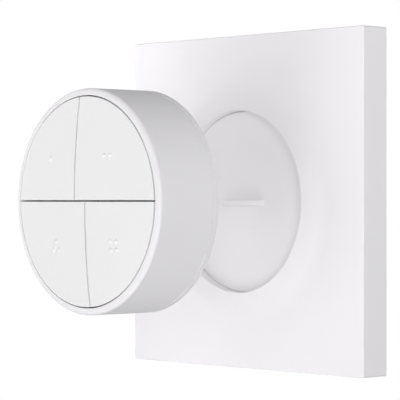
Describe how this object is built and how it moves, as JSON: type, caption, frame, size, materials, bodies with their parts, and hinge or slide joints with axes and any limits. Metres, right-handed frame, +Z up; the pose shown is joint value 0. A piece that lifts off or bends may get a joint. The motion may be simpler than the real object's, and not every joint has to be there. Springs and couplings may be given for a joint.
{
  "type": "wireless scene switch",
  "caption": "Round wireless scene switch with quarter keys under a shallow dome, held by magnets in the round dish of a square wall plate and shown lifted off it.",
  "frame": {"origin": "centre of the wall plate's back, on the wall", "axes": "+X right as seen from the room, +Y into the wall, +Z up; the room side is -Y"},
  "size_m": [0.086, 0.0623, 0.086],
  "materials": {
    "plate_plastic": "fine moulded satin, white",
    "dock_plastic": "fine moulded satin, white",
    "housing_plastic": "smooth satin, white",
    "cover_plastic": "smooth satin, white",
    "key_plastic": "fine spark-eroded satin, white",
    "inner_plastic": "plain moulded, light grey",
    "black_plastic": "moulded, black",
    "foam_tape": "foam tape with its liner",
    "silicone": "soft, matt",
    "sheet_steel": "zinc plated",
    "screw_steel": "nickel plated",
    "magnet_nickel": "nickel plated",
    "cell_steel": "plain steel",
    "contact_metal": "gold flashed spring sheet",
    "board_green": "solder mask",
    "clear_plastic": "clear moulded"
  },
  "bodies": {
    "wall_base": {"cover_plate": "plate_plastic", "dock_disc": "dock_plastic", "keeper_disc": "sheet_steel", "dock_screws": "screw_steel", "wall_bracket": "inner_plastic", "adhesive_pads": "foam_tape"},
    "remote": {"housing": "housing_plastic", "rear_cover": "cover_plastic", "cover_screw": "screw_steel", "magnets": "magnet_nickel", "key_frame": "inner_plastic", "key_dampers": "silicone", "circuit_board": "board_green", "chassis_screws": "screw_steel", "switch_bodies": "black_plastic", "board_chips": "black_plastic", "radio_board": "board_green", "shield_can": "sheet_steel", "status_led": "clear_plastic", "light_pipe": "clear_plastic", "battery_holder": "black_plastic", "coin_cell": "cell_steel", "contact_negative": "contact_metal", "contact_positive": "contact_metal"},
    "key_one": {"key_1": "key_plastic", "plunger_1": "inner_plastic"},
    "key_two": {"key_2": "key_plastic", "plunger_2": "inner_plastic"},
    "key_three": {"key_3": "key_plastic", "plunger_3": "inner_plastic"},
    "key_four": {"key_4": "key_plastic", "plunger_4": "inner_plastic"}
  },
  "joints": [
    {"name": "dock_slide", "type": "slide", "parent": "wall_base", "child": "remote", "axis": [0, 1, 0], "range_m": [0, 0.0309]},
    {"name": "key_one_press", "type": "slide", "parent": "remote", "child": "key_one", "axis": [0, 1, 0], "range_m": [0, 0.0005], "stiffness_N_per_m": 1000, "springref_m": -0.001},
    {"name": "key_two_press", "type": "slide", "parent": "remote", "child": "key_two", "axis": [0, 1, 0], "range_m": [0, 0.0005], "stiffness_N_per_m": 1000, "springref_m": -0.001},
    {"name": "key_three_press", "type": "slide", "parent": "remote", "child": "key_three", "axis": [0, 1, 0], "range_m": [0, 0.0005], "stiffness_N_per_m": 1000, "springref_m": -0.001},
    {"name": "key_four_press", "type": "slide", "parent": "remote", "child": "key_four", "axis": [0, 1, 0], "range_m": [0, 0.0005], "stiffness_N_per_m": 1000, "springref_m": -0.001}
  ]
}
